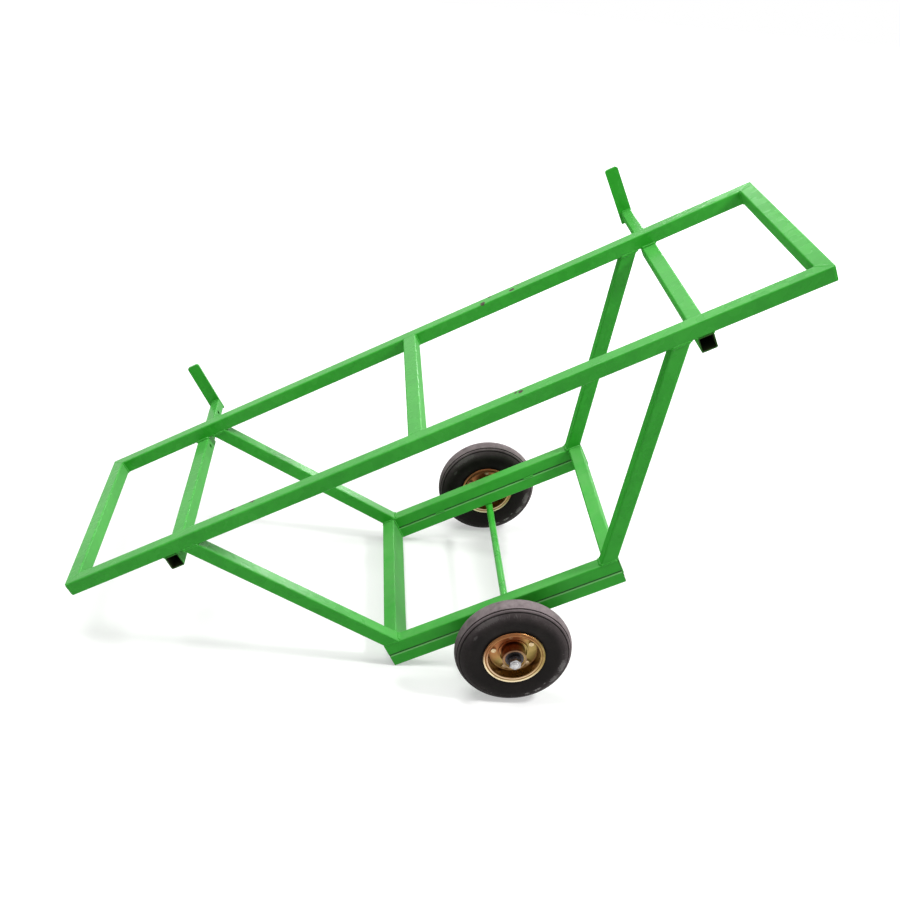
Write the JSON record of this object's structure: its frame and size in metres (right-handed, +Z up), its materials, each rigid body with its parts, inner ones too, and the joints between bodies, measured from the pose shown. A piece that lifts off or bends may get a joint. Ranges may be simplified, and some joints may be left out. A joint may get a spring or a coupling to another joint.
{
  "type": "panel cart",
  "caption": "Site cart for long panels: an open square-tube deck on sloping legs over a lower frame and axle, with pneumatic wheels and pull-out side stakes.",
  "frame": {"origin": "on the floor, midway between the two places where the tyres touch it, under the middle of the axle", "axes": "+X level towards the raised end of the deck, which slopes up by 29.4 degrees as the cart leans on its left foot, +Y across the deck to the side where the stakes come out, +Z up"},
  "size_m": [1.845, 1.191, 1.2483],
  "materials": {
    "green_paint": "gloss",
    "yellow_zinc": "satin",
    "bright_zinc": "satin",
    "dark_steel": "satin",
    "bearing_steel": "polished",
    "bearing_seal": "satin",
    "tyre": "matt",
    "inner_tube": "matt",
    "valve": "satin"
  },
  "bodies": {
    "frame": {"rail_near": "green_paint", "rail_far": "green_paint", "end_bar_left": "green_paint", "end_bar_right": "green_paint", "deck_middle_bar": "green_paint", "bearer_left": "green_paint", "bearer_right": "green_paint", "leg_near_left": "green_paint", "leg_near_right": "green_paint", "leg_far_left": "green_paint", "leg_far_right": "green_paint", "sill_near_lower": "green_paint", "sill_near_upper": "green_paint", "sill_far_lower": "green_paint", "sill_far_upper": "green_paint", "cross_bar_left": "green_paint", "cross_bar_right": "green_paint", "axle": "green_paint", "inner_races_near": "bearing_steel", "spacer_sleeve_near": "bearing_steel", "outer_collar_near": "dark_steel", "axle_washer_near": "dark_steel", "axle_nut_near": "bright_zinc", "inner_races_far": "bearing_steel", "spacer_sleeve_far": "bearing_steel", "outer_collar_far": "dark_steel", "axle_washer_far": "dark_steel", "axle_nut_far": "bright_zinc"},
    "wheel_near": {"tyre_near": "tyre", "inner_tube_near": "inner_tube", "valve_near": "valve", "rim_outer_near": "yellow_zinc", "rim_inner_near": "yellow_zinc", "hub_near": "yellow_zinc", "rim_bolts_near": "yellow_zinc", "rim_nuts_near": "yellow_zinc", "outer_races_near": "bearing_steel", "bearing_balls_near": "bearing_steel", "bearing_seals_near": "bearing_seal"},
    "wheel_far": {"tyre_far": "tyre", "inner_tube_far": "inner_tube", "valve_far": "valve", "rim_outer_far": "yellow_zinc", "rim_inner_far": "yellow_zinc", "hub_far": "yellow_zinc", "rim_bolts_far": "yellow_zinc", "rim_nuts_far": "yellow_zinc", "outer_races_far": "bearing_steel", "bearing_balls_far": "bearing_steel", "bearing_seals_far": "bearing_seal"},
    "stake_left": {"stake_tube_left": "green_paint", "stake_post_left": "green_paint"},
    "stake_right": {"stake_tube_right": "green_paint", "stake_post_right": "green_paint"}
  },
  "joints": [
    {"name": "wheel_near_spin", "type": "hinge", "parent": "frame", "child": "wheel_near", "pos_m": [0, -0.45, 0.1625], "axis": [0, 1, 0], "continuous": true},
    {"name": "wheel_far_spin", "type": "hinge", "parent": "frame", "child": "wheel_far", "pos_m": [0, 0.45, 0.1625], "axis": [0, 1, 0], "continuous": true},
    {"name": "stake_left_slide", "type": "slide", "parent": "frame", "child": "stake_left", "axis": [0, 1, 0], "range_m": [-0.247, 0.18]},
    {"name": "stake_right_slide", "type": "slide", "parent": "frame", "child": "stake_right", "axis": [0, 1, 0], "range_m": [-0.307, 0.12]}
  ]
}
